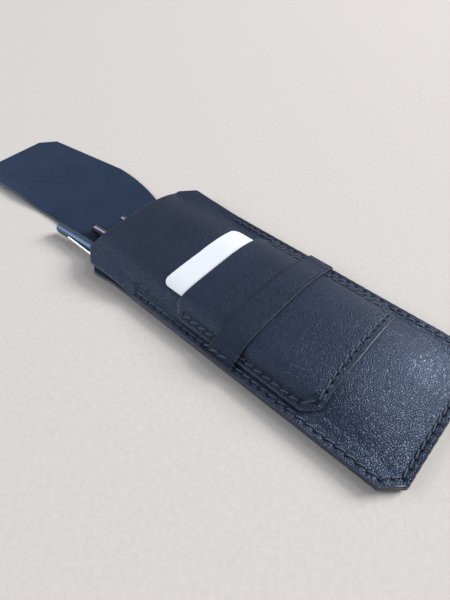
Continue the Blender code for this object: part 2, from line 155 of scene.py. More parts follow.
def case_edges(s, inset):
    """Outline of the case; its unsewn left side has spread a little at the mouth."""
    outline = cut_edges(0, CASE_LENGTH, HALF, CORNER_CUT, CORNER_CUT, MOUTH_LEFT_CUT_RUN)
    left, right = outline(s, inset)
    return left - MOUTH_SPREAD * smooth((s - CASE_LENGTH) / MOUTH_SPREAD_LENGTH + 1), right


def flap_left(s):
    """The flap's left side: straight out of the case, then slanting to the left."""
    return NECK_LEFT_INSET - HALF - LEFT_SKEW * np.maximum(0.0, s - CASE_LENGTH - LEFT_TURN_LENGTH)


def flap_edges(s, inset):
    """Left and right edge of the neck and the flap."""
    flare_end = CASE_LENGTH + FLARE_LENGTH
    right = HALF - FLARE_RIGHT_INSET - RIGHT_SKEW * np.maximum(0.0, s - flare_end)
    narrowing = np.maximum(0.0, (flare_end - s) / FLARE_LENGTH) ** 2
    right = right - (NECK_RIGHT_INSET - FLARE_RIGHT_INSET) * narrowing
    cut = np.maximum(0.0, FLAP_CORNER_CUT - inset * (math.sqrt(2) - 1) - (FLAP_END - s))
    return flap_left(s) + inset + cut, right - inset - cut


def back_edges(s, inset):
    """The case's outline up to the mouth, then the neck's."""
    case_left, case_right = case_edges(s, inset)
    neck_left, neck_right = flap_edges(s, inset)
    neck = smooth((s - CASE_LENGTH) / NECK_SHOULDER)
    return case_left + (neck_left - case_left) * neck, case_right + (neck_right - case_right) * neck


def add_piece(name, points, faces, looks):
    """A smooth-shaded mesh with its materials, put into the scene."""
    mesh = bpy.data.meshes.new(name)
    mesh.from_pydata(points, [], faces)
    mesh.polygons.foreach_set("use_smooth", np.ones(len(faces), bool))
    for look in looks:
        mesh.materials.append(look)
    obj = bpy.data.objects.new(name, mesh)
    bpy.context.scene.collection.objects.link(obj)
    return obj


def sheet(name, columns, rows, edges, height, under, thickness, looks, joined=()):
    """A cut sheet with rounded edges: its face, its edge and its back have a look each.

    columns run from -1 to 1 between the edges of each row, under is the distance of
    the sheet's back from the height, and joined names the ends that run on.
    """
    # A grid of points half way through the leather
    rows = np.array(rows, float)
    inset = EDGE_ROUNDING if thickness > EDGE_ROUNDING else thickness / 2
    if "low" not in joined:
        rows[0] += inset
    if "high" not in joined:
        rows[-1] -= inset
    left, right = edges(rows, inset)
    share = (np.array(columns) + 1) / 2
    x = left[:, None] + (right - left)[:, None] * share
    s = np.repeat(rows[:, None], len(columns), 1)
    off = under(x, s) if callable(under) else np.full_like(x, under)
    back, facing = laid(height, x, s, off)
    middle = back + facing * thickness / 2
    index = np.arange(x.size).reshape(x.shape)

    # The rim of that grid, and which way is out of the leather there
    loop = np.concatenate([index[0, :-1], index[:-1, -1], index[-1, :0:-1], index[:0:-1, 0]])
    centre = middle.reshape(-1, 3)[loop]
    normal = facing.reshape(-1, 3)[loop]
    along = np.roll(centre, -1, 0) - np.roll(centre, 1, 0)
    outward = np.cross(along, normal)
    outward /= np.linalg.norm(outward, axis=1, keepdims=True)

    # An end that runs on into the next sheet is flat, so that the two meet
    flush = np.zeros(len(loop), bool)
    if "low" in joined:
        flush |= np.isin(loop, index[0])
    if "high" in joined:
        flush |= np.isin(loop, index[-1])
    at_corner = np.isin(loop, index[[0, 0, -1, -1], [0, -1, 0, -1]])
    side = np.where(centre[:, :1] > 0, 1.0, -1.0) * np.array([1.0, 0.0, 0.0])
    outward = np.where((flush & at_corner)[:, None], side, outward)
    reach = np.where(flush & ~at_corner, 0.0, inset)

    # The face's points, then the rounded edge ring by ring, then the back's points
    parts = [(middle + facing * thickness / 2).reshape(-1, 3)]
    rings = [loop]
    for step in range(1, EDGE_STEPS):
        turn = math.pi / 2 - math.pi * step / EDGE_STEPS
        out = abs(math.cos(turn)) ** EDGE_SQUARENESS * reach[:, None]
        up = math.copysign(abs(math.sin(turn)) ** EDGE_SQUARENESS, turn) * thickness / 2
        parts.append(centre + outward * out + normal * up)
        rings.append(x.size + (step - 1) * len(loop) + np.arange(len(loop)))
    parts.append(back.reshape(-1, 3))
    points = np.concatenate(parts)
    back_start = x.size + (EDGE_STEPS - 1) * len(loop)
    rings.append(back_start + loop)

    # Their faces, with the number of the look that each has
    face = np.stack([index[:-1, :-1], index[:-1, 1:], index[1:, 1:], index[1:, :-1]], -1)
    face = face.reshape(-1, 4)
    quads = [face]
    kinds = [np.zeros(len(face), int)]
    for upper, lower in zip(rings, rings[1:]):
        quads.append(np.stack([upper, lower, np.roll(lower, -1), np.roll(upper, -1)], -1))
        kinds.append(np.ones(len(loop), int))
    quads.append(face[:, ::-1] + back_start)
    kinds.append(np.full(len(face), 2))
    obj = add_piece(name, points.tolist(), np.concatenate(quads).tolist(), looks)
    obj.data.polygons.foreach_set("material_index", np.concatenate(kinds))
    if joined:
        ends = np.zeros(len(points), bool)
        for ring in rings:
            ends[ring[flush]] = True
        for edge in obj.data.edges:
            edge.use_edge_sharp = bool(ends[edge.vertices[0]] and ends[edge.vertices[1]])
    return obj


def linear(hex_colour):
    """An sRGB hex colour as linear red, green, blue and alpha."""
    channels = [int(hex_colour[k : k + 2], 16) / 255 for k in (1, 3, 5)]
    return [c / 12.92 if c <= 0.04045 else ((c + 0.055) / 1.055) ** 2.4 for c in channels] + [1.0]


def put(tree, kind, settings, links=None):
    """Adds a node, sets its properties, sockets or colour stops, and links its inputs.

    A stop is a place and either a grey or a hex colour.
    """
    node = tree.nodes.new(kind)
    for key, value in settings.items():
        if key == "stops":
            stops = node.color_ramp.elements
            for k, (place, shade) in enumerate(value):
                stop = stops[k] if k < 2 else stops.new(place)
                stop.position = place
                stop.color = linear(shade) if isinstance(shade, str) else [shade, shade, shade, 1.0]
        elif isinstance(key, str) and hasattr(node, key):
            setattr(node, key, value)
        else:
            node.inputs[key].default_value = value
    for key, socket in (links or {}).items():
        tree.links.new(socket, node.inputs[key])
    return node


def plain_material(name):
    """A new material with its nodes, its shader and the place on the piece."""
    look = bpy.data.materials.new(name)
    look.use_nodes = True
    tree = look.node_tree
    place = put(tree, "ShaderNodeTexCoord", {}).outputs["Object"]
    return look, tree, tree.nodes["Principled BSDF"], place


def leather(name, dark, light, grain_width, grain_depth, roughness, pore_depth):
    """Drum-dyed calf: pebbles parted by fine creases, pores, and slightly uneven shine, with shade
    painted into the creases and stitch holes and a blue tint painted on the shine.
    """
    look, tree, shader, place = plain_material(name)
    bend = put(
        tree,
        "ShaderNodeTexNoise",
        {"Scale": 0.4 / grain_width, "Detail": 2.0},
        {"Vector": place},
    )
    bent = put(
        tree,
        "ShaderNodeVectorMath",
        {"operation": "MULTIPLY_ADD", 1: (grain_width, grain_width, grain_width)},
        {0: bend.outputs["Color"], 2: place},
    )
    crease = put(
        tree,
        "ShaderNodeTexVoronoi",
        {"feature": "DISTANCE_TO_EDGE", "Scale": 1 / grain_width, "Randomness": 0.9},
        {"Vector": bent.outputs["Vector"]},
    )
    pebble = put(
        tree,
        "ShaderNodeValToRGB",
        {"stops": [(0.0, 0.0), (0.14, 0.5), (0.34, 0.86), (0.6, 1.0)]},
        {"Fac": crease.outputs["Distance"]},
    )
    pore = put(
        tree,
        "ShaderNodeTexNoise",
        {"Scale": 2.2 / grain_width, "Detail": 3.0},
        {"Vector": place},
    )
    patch = put(tree, "ShaderNodeTexNoise", {"Scale": 0.035 / MM, "Detail": 3.0}, {"Vector": place})
    colour = put(
        tree,
        "ShaderNodeValToRGB",
        {"stops": [(0.35, dark), (0.7, light)]},
        {"Fac": patch.outputs["Fac"]},
    )
    # Painted shade: the colour is darkened in the creases between pebbles
    crease_shaded = put(
        tree,
        "ShaderNodeMix",
        {"data_type": "RGBA", "blend_type": "MULTIPLY", 0: CREASE_PAINTED_SHADE},
        {6: colour.outputs["Color"], 7: pebble.outputs["Color"]},
    )
    # Painted shade at the seams: darker colour and less shine in the stitch holes and grooves
    seam_painted_shade = put(tree, "ShaderNodeAttribute", {"attribute_name": "seam_painted_shade"})
    shaded = put(
        tree,
        "ShaderNodeMix",
        {"data_type": "RGBA", "blend_type": "MULTIPLY", 7: SEAM_PAINTED_SHADE},
        {0: seam_painted_shade.outputs["Fac"], 6: crease_shaded.outputs[2]},
    )
    tree.links.new(shaded.outputs[2], shader.inputs["Base Color"])
    worn = put(
        tree,
        "ShaderNodeMapRange",
        {"To Min": roughness - 0.05, "To Max": roughness + 0.07},
        {"Value": patch.outputs["Fac"]},
    )
    polish = put(tree, "ShaderNodeAttribute", {"attribute_name": "polish"})
    handled = put(
        tree,
        "ShaderNodeMath",
        {"operation": "MULTIPLY_ADD", 1: -HANDLED_SMOOTHING},
        {0: polish.outputs["Fac"], 2: worn.outputs["Result"]},
    )
    tree.links.new(handled.outputs["Value"], shader.inputs["Roughness"])
    shine = put(
        tree,
        "ShaderNodeMapRange",
        {"To Min": HIDE_SHINE, "To Max": SEAM_SHINE},
        {"Value": seam_painted_shade.outputs["Fac"]},
    )
    shinier = put(
        tree,
        "ShaderNodeMath",
        {"operation": "MULTIPLY_ADD", 1: HANDLED_SHINE},
        {0: polish.outputs["Fac"], 2: shine.outputs["Result"]},
    )
    tree.links.new(shinier.outputs["Value"], shader.inputs["Specular IOR Level"])
    grain = put(
        tree,
        "ShaderNodeBump",
        {"Strength": 1.0, "Distance": grain_depth},
        {"Height": pebble.outputs["Color"]},
    )
    fine = put(
        tree,
        "ShaderNodeBump",
        {"Strength": 1.0, "Distance": pore_depth},
        {"Height": pore.outputs["Fac"], "Normal": grain.outputs["Normal"]},
    )
    tree.links.new(fine.outputs["Normal"], shader.inputs["Normal"])
    # Painted light: the shine is tinted blue, standing in for bluish daylight in the reflections
    shader.inputs["Specular Tint"].default_value = linear("#c0d4f2")
    return look


# Smooth face of the hide, which shows on the flap's inside: matt navy, hardly any grain
smooth_hide = leather(
    "smooth_dyed_calf",
    "#22334d",
    "#293c56",
    grain_width=0.9 * MM,
    grain_depth=0.01 * MM,
    roughness=0.6,
    pore_depth=0.02 * MM,
)
# Grain side, which shows on the front, pocket and strap: pebbled, with a soft shine.
# Real pebbles are half as wide, which would be too fine for the picture to show.
grained_hide = leather(
    "pebbled_dyed_calf",
    "#202a3f",
    "#29344b",
    grain_width=0.87 * MM,
    grain_depth=0.135 * MM,
    roughness=0.4,
    pore_depth=0.05 * MM,
)


def cut_edge(name, dark, light, roughness):
    """Cut edge of the hide, dyed: dark, with the faint layers of its fibres."""
    look, tree, shader, place = plain_material(name)
    layers = put(tree, "ShaderNodeMapping", {"Scale": (0.15, 0.15, 1.0)}, {"Vector": place})
    fibre = put(
        tree,
        "ShaderNodeTexNoise",
        {"Scale": 2.5 / MM, "Detail": 4.0},
        {"Vector": layers.outputs["Vector"]},
    )
    shade = put(
        tree,
        "ShaderNodeValToRGB",
        {"stops": [(0.4, dark), (0.68, light)]},
        {"Fac": fibre.outputs["Fac"]},
    )
    tree.links.new(shade.outputs["Color"], shader.inputs["Base Color"])
    bump = put(
        tree,
        "ShaderNodeBump",
        {"Strength": 0.6, "Distance": 0.05 * MM},
        {"Height": fibre.outputs["Fac"]},
    )
    tree.links.new(bump.outputs["Normal"], shader.inputs["Normal"])
    shader.inputs["Roughness"].default_value = roughness
    return look


# Edges are sanded, dyed and rubbed with wax: slate blue, shining where they turn over
burnished_edge = cut_edge("burnished_leather_edge", "#2b2f3c", "#414657", 0.34)


def flesh(name, dark, light):
    """Flesh side, shaved and dyed: dull, with short fibres."""
    look, tree, shader, place = plain_material(name)
    fibre = put(
        tree,
        "ShaderNodeTexNoise",
        {"Scale": 1.6 / MM, "Detail": 6.0, "Roughness": 0.7},
        {"Vector": place},
    )
    shade = put(
        tree,
        "ShaderNodeValToRGB",
        {"stops": [(0.3, dark), (0.75, light)]},
        {"Fac": fibre.outputs["Fac"]},
    )
    tree.links.new(shade.outputs["Color"], shader.inputs["Base Color"])
    bump = put(
        tree,
        "ShaderNodeBump",
        {"Strength": 0.8, "Distance": 0.12 * MM},
        {"Height": fibre.outputs["Fac"]},
    )
    tree.links.new(bump.outputs["Normal"], shader.inputs["Normal"])
    shader.inputs["Roughness"].default_value = 0.92
    shader.inputs["Sheen Weight"].default_value = 0.2
    return look


# Inside of the compartment: the hide's shaved back
flesh_side = flesh("shaved_flesh_side", "#1b2233", "#2a3347")


def evenly(low, high, step):
    """Places from low to high, about a step apart."""
    return list(np.linspace(low, high, max(2, round((high - low) / step) + 1)))


def rows_through(start, *runs):
    """Rows of a sheet from its start, run after run, each with its spacing and end."""
    rows = [start]
    for spacing, end in runs:
        rows += evenly(rows[-1], end, spacing)[1:]
    return rows


def columns_to(half, fine_width, fine, coarse):
    """Columns across a sheet as shares of its half width, closer near the edges."""
    right = evenly(0, half - fine_width, coarse) + evenly(half - fine_width, half, fine)[1:]
    whole = [-x for x in reversed(right[1:])] + right
    return np.array(whole) / half


def ripple(x, s, strength):
    """Slow unevenness of a hide that has been handled, as crossing waves."""
    waves = np.sin(x / (7.3 * MM) + s / (19 * MM))
    waves = waves + np.sin(s / (11.7 * MM) - x / (23 * MM) + 1.7)
    waves = waves + 0.7 * np.sin((x + s) / (9.1 * MM) + 0.6)
    waves = waves + 0.5 * np.sin((x - 0.6 * s) / (5.3 * MM) + 2.1)
    return waves * strength


def flat_height(x, s):
    """Height of a piece that lies flat on the table."""
    return np.zeros_like(x)


def tongue_height(x, s):
    """The tongue's left side stands off the table a little, past the fold."""
    past_fold = smooth((s - UPPER_FOLD - FOLD_BEND) / TONGUE_CURL_RUN)
    return TONGUE_CURL * past_fold * (1 - np.clip((x - flap_left(s)) / TONGUE_CURL_WIDTH, 0, 1)) ** 2


back_rows = rows_through(
    0,
    (0.8 * MM, 12 * MM),
    (2 * MM, CASE_LENGTH - CORNER_CUT),
    (0.5 * MM, CASE_LENGTH + NECK_SHOULDER),
    (1.5 * MM, FLAP_START),
)
back = sheet(
    "back_leather",
    columns_to(HALF, 10 * MM, 0.8 * MM, 1.6 * MM),
    back_rows,
    back_edges,
    back_height,
    0.0,
    PANEL_LEATHER,
    [smooth_hide, burnished_edge, grained_hide],
    joined=("high",),
)
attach(back, "case")
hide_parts("back_panel")

flap_columns = columns_to(1.0, 0.12, 0.02, 0.05)
fold = sheet(
    "flap_fold_leather",
    flap_columns,
    evenly(FLAP_START, FLAP_SPLIT, 0.5 * MM),
    flap_edges,
    flat_height,
    0.0,
    PANEL_LEATHER,
    [smooth_hide, burnished_edge, grained_hide],
    joined=("low", "high"),
)
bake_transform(fold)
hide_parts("flap_spine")

tongue_rows = rows_through(
    FLAP_SPLIT,
    (0.5 * MM, UPPER_FOLD + FOLD_BEND),
    (1.5 * MM, FLAP_END - FLAP_CORNER_CUT),
    (0.6 * MM, FLAP_END),
)
tongue = sheet(
    "flap_tongue_leather",
    flap_columns,
    tongue_rows,
    flap_edges,
    tongue_height,
    0.0,
    PANEL_LEATHER,
    [smooth_hide, burnished_edge, grained_hide],
    joined=("low",),
)
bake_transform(tongue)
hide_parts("flap_tongue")

# Front panel
# A second piece of the same hide, grain side out, sewn to the back along its sides
# and closed end. It swells over the pens, and its top is left loose as the mouth.

LAYER_GAP = 0.25 * MM
UNSEWN_LENGTH = 39 * MM
MIDDLE_ROOM = 8.2 * MM
ARCH_FULLNESS = 3.0
PEN_SIDE_FULLNESS = 6.5
FULLNESS_CHANGE_LENGTH = 77 * MM
CREASE_WIDTH = 4 * MM
CLOSED_END_SLOPE = 40 * MM
CLOSED_END_ROUNDNESS = 2.0
LOOSE_EDGE_LEFT = 7.3 * MM
LOOSE_EDGE_RIGHT = 5.6 * MM
LOOSE_BLEND_LEFT = 24 * MM
LOOSE_BLEND_RIGHT = 33 * MM
LOOSE_SIDE_WIDTH = 11.8 * MM
LOOSE_SIDE_EASE = 1.5 * MM
CARD_WIDTH = 50 * MM
STITCH_PITCH = 4.4 * MM
GROOVE_DEPTH = 0.35 * MM
GROOVE_WIDTH = 0.55 * MM
# Painted shade along a seam's groove
GROOVE_PAINTED_SHADE = 0.45
PUCKER_DEPTH = 0.26 * MM
PUCKER_WIDTH = 1.1 * MM
HOLE_DEPTH = 0.55 * MM
HOLE_RADIUS = 0.8 * MM
HOLE_SIDE = 0.6 * MM
END_POLISH = 0.7
POLISH_START = 24 * MM
POLISH_FADE = 50 * MM
SIDE_POLISH = 0.8
SIDE_POLISH_START = 23 * MM
SIDE_POLISH_FADE = 6 * MM
RUB_POLISH = 1.1
RUB_X = 15 * MM
RUB_FROM_END = 16 * MM
RUB_WIDTH = 8 * MM
RUB_LENGTH = 6.5 * MM
END_RIPPLE = 0.12 * MM
END_RIPPLE_START = 22 * MM
END_RIPPLE_FADE = 14 * MM
HIDE_UNEVENNESS = 0.05 * MM
SEAM_BAND = 9 * MM
SEAM_SPACING = 0.4 * MM
FACE_SPACING = 0.75 * MM
MIDDLE_SPACING = 1.0 * MM

SEWN_LENGTH = CASE_LENGTH - UNSEWN_LENGTH
FRONT_BASE = PANEL_LEATHER + LAYER_GAP
CARD_HALF = CARD_WIDTH / 2


def room(x, s):
    """Inner height of the case above its sewn layers, once the sides are sewn."""
    from_end = (s - SEAM_INSET - CREASE_INSIDE_SEAM) / CLOSED_END_SLOPE
    end = 1 - (1 - np.clip(from_end, 0.0, 1.0)) ** CLOSED_END_ROUNDNESS
    change = smooth(1 - (SEWN_LENGTH - s) / FULLNESS_CHANGE_LENGTH)
    fullness = ARCH_FULLNESS + np.where(x < 0, (PEN_SIDE_FULLNESS - ARCH_FULLNESS) * change, 0.0)
    arch = 1 - np.minimum(abs(x) / CREASE_X, 1.0) ** fullness
    return MIDDLE_ROOM * end * arch * smooth((CREASE_X - abs(x)) / CREASE_WIDTH)


def front_height(x, s):
    """Underside of the front panel, before the stitches pull it in."""
    sewn = back_height(x, s) + FRONT_BASE + room(x, s)
    middle = HALF - LOOSE_SIDE_WIDTH
    beyond = np.maximum(0.0, abs(x) - middle)
    held = np.minimum(abs(x), middle) + LOOSE_SIDE_EASE * (1 - np.exp(-beyond / LOOSE_SIDE_EASE))
    inner = FRONT_BASE + room(np.copysign(held, x), s)
    edge = np.where(x < 0, LOOSE_EDGE_LEFT, LOOSE_EDGE_RIGHT)
    loose = inner + (edge - inner) * smooth(beyond / LOOSE_SIDE_WIDTH)
    past_seam = np.clip((s - SEWN_LENGTH) / LOOSE_BLEND_LEFT, 0.0, 1.0)
    freed_right = smooth((s - SEWN_LENGTH) / LOOSE_BLEND_RIGHT)
    freed = np.where(x < 0, past_seam * (2 - past_seam), freed_right)
    return sewn + (loose - sewn) * freed


def u_seam(half, low, high, cut):
    """Straight runs of a seam: down the left, round the cut corners, up the right."""
    corners = [(-half, high), (-half, low + cut), (cut - half, low)]
    corners += [(half - cut, low), (half, low + cut), (half, high)]
    runs = []
    for start, end in zip(corners, corners[1:]):
        length = math.dist(start, end)
        runs.append((start, end, length, max(1, round(length / STITCH_PITCH))))
    return runs


def pulled_in(x, s, runs):
    """How far the stitches of a seam press the leather down, and the shade painted into its holes and
    groove.
    """
    down = np.zeros_like(x)
    shade = np.zeros_like(x)
    for (x0, s0), (x1, s1), length, count in runs:
        along = ((x - x0) * (x1 - x0) + (s - s0) * (s1 - s0)) / length
        inside = ((s - s0) * (x0 - x1) + (x - x0) * (s1 - s0)) / length
        beyond = np.maximum(0.0, np.maximum(-along, along - length))
        off_line = np.hypot(inside, beyond)
        groove = GROOVE_DEPTH * np.exp(-((off_line / GROOVE_WIDTH) ** 2))
        hole = (along * count / length + 0.5) % 1.0 - 0.5
        from_hole = np.hypot(np.hypot(hole * length / count, inside - HOLE_SIDE), beyond)
        pit = np.exp(-((from_hole / HOLE_RADIUS) ** 2))
        pucker = np.exp(-(((inside - PUCKER_WIDTH) / PUCKER_WIDTH) ** 2))
        pucker = PUCKER_DEPTH * pucker * np.cos(2 * math.pi * hole)
        pucker = pucker * np.exp(-((beyond / GROOVE_WIDTH) ** 2))
        down = np.maximum(down, groove + HOLE_DEPTH * pit + pucker)
        # Painted shade: full in the stitch holes, fainter along the groove
        shade = np.maximum(shade, pit)
        shade = np.maximum(shade, GROOVE_PAINTED_SHADE * np.exp(-((off_line / GROOVE_WIDTH) ** 2)))
    return down, shade


def paint_seam_shade_and_polish(obj, runs):
    """Stores the shade painted into the stitch holes and grooves, and the polish that hands have
    given.
    """
    points = np.zeros(len(obj.data.vertices) * 3)
    obj.data.vertices.foreach_get("co", points)
    points = points.reshape(-1, 3)
    x = points[:, 0]
    s = points[:, 1] - BOTTOM
    shade = pulled_in(x, s, runs)[1]
    polish = END_POLISH * (1 - smooth((s - POLISH_START) / POLISH_FADE))
    polish = np.maximum(polish, SIDE_POLISH * smooth((-x - SIDE_POLISH_START) / SIDE_POLISH_FADE))
    from_rub = np.hypot((x - RUB_X) / RUB_WIDTH, (s - RUB_FROM_END) / RUB_LENGTH)
    polish = polish + RUB_POLISH * np.exp(-(from_rub**2))
    obj.data.attributes.new("seam_painted_shade", "FLOAT", "POINT").data.foreach_set("value", shade)
    obj.data.attributes.new("polish", "FLOAT", "POINT").data.foreach_set("value", polish)


SEAM_CUT = CORNER_CUT - SEAM_INSET * (2 - math.sqrt(2))
seam_runs = u_seam(SEAM_X, SEAM_INSET, SEWN_LENGTH, SEAM_CUT)


def front_face_height(x, s):
    """The front as sewn; its closed end, which is pushed most, is the most uneven."""
    pushed = (1 - smooth((s - END_RIPPLE_START) / END_RIPPLE_FADE)) * room(x, s) / MIDDLE_ROOM
    uneven = ripple(x, s, HIDE_UNEVENNESS + END_RIPPLE * pushed)
    return front_height(x, s) - pulled_in(x, s, seam_runs)[0] + uneven


front_rows = rows_through(
    0,
    (SEAM_SPACING, 14 * MM),
    (FACE_SPACING, CASE_LENGTH - CORNER_CUT),
    (0.6 * MM, CASE_LENGTH),
)
front = sheet(
    "front_leather",
    columns_to(HALF, SEAM_BAND, SEAM_SPACING, MIDDLE_SPACING),
    front_rows,
    case_edges,
    front_face_height,
    0.0,
    PANEL_LEATHER,
    [grained_hide, burnished_edge, flesh_side],
)
paint_seam_shade_and_polish(front, seam_runs)
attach(front, "case")
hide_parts("front_panel")

# Card pocket
# A thin patch of the same leather with cut corners, sewn onto the front panel along
# its sides and lower end, and left open towards the mouth for a card.

TRIM_LEATHER = 1.0 * MM
POCKET_LOW = 38.5 * MM
POCKET_HIGH = 114.8 * MM
POCKET_MARGIN = 4.8 * MM
POCKET_CORNER_CUT = 6 * MM
POCKET_SEAM_INSET = 3.0 * MM
POCKET_BOTTOM_SEAM_INSET = 3.6 * MM
POCKET_SWELL_WIDTH = 5 * MM
POCKET_SETTLE_LENGTH = 5.9 * MM
POCKET_SPAN = 2.5 * MM
POCKET_SEAM_ROLL = 1 * MM
POCKET_GAP = 0.35 * MM
CARD_THICKNESS = 0.4 * MM
CARD_ROOM = CARD_THICKNESS + LAYER_GAP
POCKET_HALF = HALF - POCKET_MARGIN


def card_height(x, s):
    """Underside of what the card lies on, the same along the whole case."""
    return front_height(np.clip(x, -CARD_HALF, CARD_HALF), np.full_like(s, SEWN_LENGTH))


def pocket_height(x, s):
    """Front panel's underside, raised where the card keeps the pocket up.

    The leather is too stiff to follow the hollow beside the crown, so it spans that.
    """
    beside = front_height(x - POCKET_SPAN, s) + front_height(x + POCKET_SPAN, s)
    own = np.maximum(front_height(x, s), beside / 2)
    held_up = front_height(x, np.full_like(s, SEWN_LENGTH))
    held = smooth((POCKET_HALF - POCKET_SEAM_INSET - abs(x)) / POCKET_SWELL_WIDTH)
    return own + (held_up - own) * held * smooth((s - POCKET_LOW) / POCKET_SETTLE_LENGTH)


def pocket_swell(x, s):
    """Distance of the pocket from the front panel's underside."""
    inside = smooth((POCKET_HALF - POCKET_SEAM_INSET - abs(x)) / POCKET_SWELL_WIDTH)
    seam = POCKET_LOW + POCKET_BOTTOM_SEAM_INSET
    inside = inside * smooth((s - seam + POCKET_SEAM_ROLL) / POCKET_SEAM_ROLL)
    return PANEL_LEATHER + POCKET_GAP + CARD_ROOM * inside


pocket_runs = u_seam(
    POCKET_HALF - POCKET_SEAM_INSET,
    POCKET_LOW + POCKET_BOTTOM_SEAM_INSET,
    POCKET_HIGH - POCKET_CORNER_CUT,
    POCKET_CORNER_CUT - POCKET_SEAM_INSET * (2 - math.sqrt(2)),
)


def pocket_face_height(x, s):
    """The pocket's height as sewn."""
    return pocket_height(x, s) - pulled_in(x, s, pocket_runs)[0]


pocket_rows = rows_through(
    POCKET_LOW,
    (SEAM_SPACING, POCKET_LOW + 10 * MM),
    (FACE_SPACING, POCKET_HIGH),
)
pocket = sheet(
    "card_pocket_leather",
    columns_to(POCKET_HALF, 8 * MM, SEAM_SPACING, MIDDLE_SPACING),
    pocket_rows,
    cut_edges(POCKET_LOW, POCKET_HIGH, POCKET_HALF, POCKET_CORNER_CUT, POCKET_CORNER_CUT),
    pocket_face_height,
    pocket_swell,
    TRIM_LEATHER,
    [grained_hide, burnished_edge, flesh_side],
)
paint_seam_shade_and_polish(pocket, pocket_runs)
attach(pocket, "case")
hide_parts("card_pocket")

# Closing strap
# A plain band of thin leather across the pocket, its ends caught in the side seams.
# The flap's tongue tucks under it.

STRAP_LOW = 75.8 * MM
STRAP_HIGH = 89.4 * MM
STRAP_DROP_INSET = 4.7 * MM
STRAP_DROP_WIDTH = 3.4 * MM
STRAP_GAP = 0.15 * MM
STRAP_BRIDGE = 2.5 * MM
STRAP_THREAD_ROOM_WIDTH = 3 * MM
STRAP_THREAD_ROOM = 0.5 * MM
STRAP_THREAD_LEAD = 5.2 * MM


def over_pocket(x):
    """1 where the strap lies on the pocket, falling to 0 beside it."""
    return 1 - smooth((abs(x) - HALF + STRAP_DROP_INSET) / STRAP_DROP_WIDTH)


def strap_height(x, s):
    """The pocket's height, but level across the hollow at the pocket's edge."""
    bridge = STRAP_BRIDGE * over_pocket(x)
    beside = pocket_height(x - bridge, s) + pocket_height(x + bridge, s)
    return np.maximum(pocket_height(x, s), beside / 2)


def strap_under(x, s):
    """Distance of the strap from the front panel's underside."""
    seam = POCKET_HALF - POCKET_SEAM_INSET
    swell = smooth((seam - abs(x)) / POCKET_SWELL_WIDTH)
    thread = smooth((abs(x) - seam + STRAP_THREAD_LEAD) / STRAP_THREAD_ROOM_WIDTH)
    above = TRIM_LEATHER + STRAP_GAP + STRAP_THREAD_ROOM * thread
    return PANEL_LEATHER + POCKET_GAP + above * over_pocket(x) + CARD_ROOM * swell


# The strap's edges are dyed but not waxed: dull, and as dark as its shadow
dyed_edge = cut_edge("dyed_leather_edge", "#1f2432", "#2a3041", 0.7)
strap = sheet(
    "closing_strap_leather",
    columns_to(HALF, SEAM_BAND, SEAM_SPACING, MIDDLE_SPACING),
    evenly(STRAP_LOW, STRAP_HIGH, 0.5 * MM),
    cut_edges(STRAP_LOW, STRAP_HIGH, HALF, 0, 0),
    strap_height,
    strap_under,
    TRIM_LEATHER,
    [grained_hide, dyed_edge, flesh_side],
)
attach(strap, "case")
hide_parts("closing_strap")

# Stitches
# Waxed navy thread, three plies twisted, saddle-stitched by hand: each stitch comes
# out of one awl hole, crosses the leather at a slight slant and sinks into the next.

THREAD_PLY_RADIUS = 0.19 * MM
THREAD_TURNS = 1.6
THREAD_SIDES = 6
THREAD_STEPS = 14
STITCH_SLANT = 0.32 * MM
STITCH_MARGIN = 0.06
STITCH_SINK = 0.85 * MM
STITCH_RISE = 0.12 * MM
STITCH_ROUNDNESS = 6


def waxed_thread(name, dark, light):
    """Waxed linen: dark, with grey flecks painted on as glints, and a short soft glint from the lamps
    along each ply.
    """
    look, tree, shader, place = plain_material(name)
    painted_glint_flecks = put(tree, "ShaderNodeTexNoise", {"Scale": 3.0 / MM, "Detail": 3.0}, {"Vector": place})
    shade = put(
        tree,
        "ShaderNodeValToRGB",
        {"stops": [(0.35, dark), (0.75, light)]},
        {"Fac": painted_glint_flecks.outputs["Fac"]},
    )
    tree.links.new(shade.outputs["Color"], shader.inputs["Base Color"])
    shader.inputs["Roughness"].default_value = 0.38
    shader.inputs["Sheen Weight"].default_value = 0.3
    return look


# Linen drawn through dark wax: navy, with painted grey flecks that stand in for glints of light on the
# wax
navy_thread = waxed_thread("waxed_linen_thread", "#272d3f", "#697187")


def strand(points, quads, start, end, facing, rise):
    """One stitch: three plies twisted along a line that rises between two holes."""
    share = np.linspace(0, 1, THREAD_STEPS + 1)[:, None]
    bow = 1 - (2 * share - 1) ** STITCH_ROUNDNESS
    centre = start + (end - start) * share + facing * rise * bow
    forward = np.gradient(centre, axis=0)
    forward /= np.linalg.norm(forward, axis=1, keepdims=True)
    sideways = np.cross(forward, facing)
    sideways /= np.linalg.norm(sideways, axis=1, keepdims=True)
    upright = np.cross(sideways, forward)
    round_ply = 2 * math.pi * np.arange(THREAD_SIDES) / THREAD_SIDES
    for ply in range(3):
        turn = 2 * math.pi * (THREAD_TURNS * share + ply / 3)
        core = centre + THREAD_PLY_RADIUS * (sideways * np.cos(turn) + upright * np.sin(turn))
        first = len(points)
        for middle, across, up in zip(core, sideways, upright):
            for angle in round_ply:
                out = across * math.cos(angle) + up * math.sin(angle)
                points.append(middle + THREAD_PLY_RADIUS * out)
        for step in range(THREAD_STEPS):
            low = first + step * THREAD_SIDES
            for corner in range(THREAD_SIDES):
                beside = (corner + 1) % THREAD_SIDES
                high = low + THREAD_SIDES
                quads.append((low + corner, high + corner, high + beside, low + beside))
        quads.append(tuple(range(first, first + THREAD_SIDES)))
        last = first + THREAD_STEPS * THREAD_SIDES
        quads.append(tuple(reversed(range(last, last + THREAD_SIDES))))


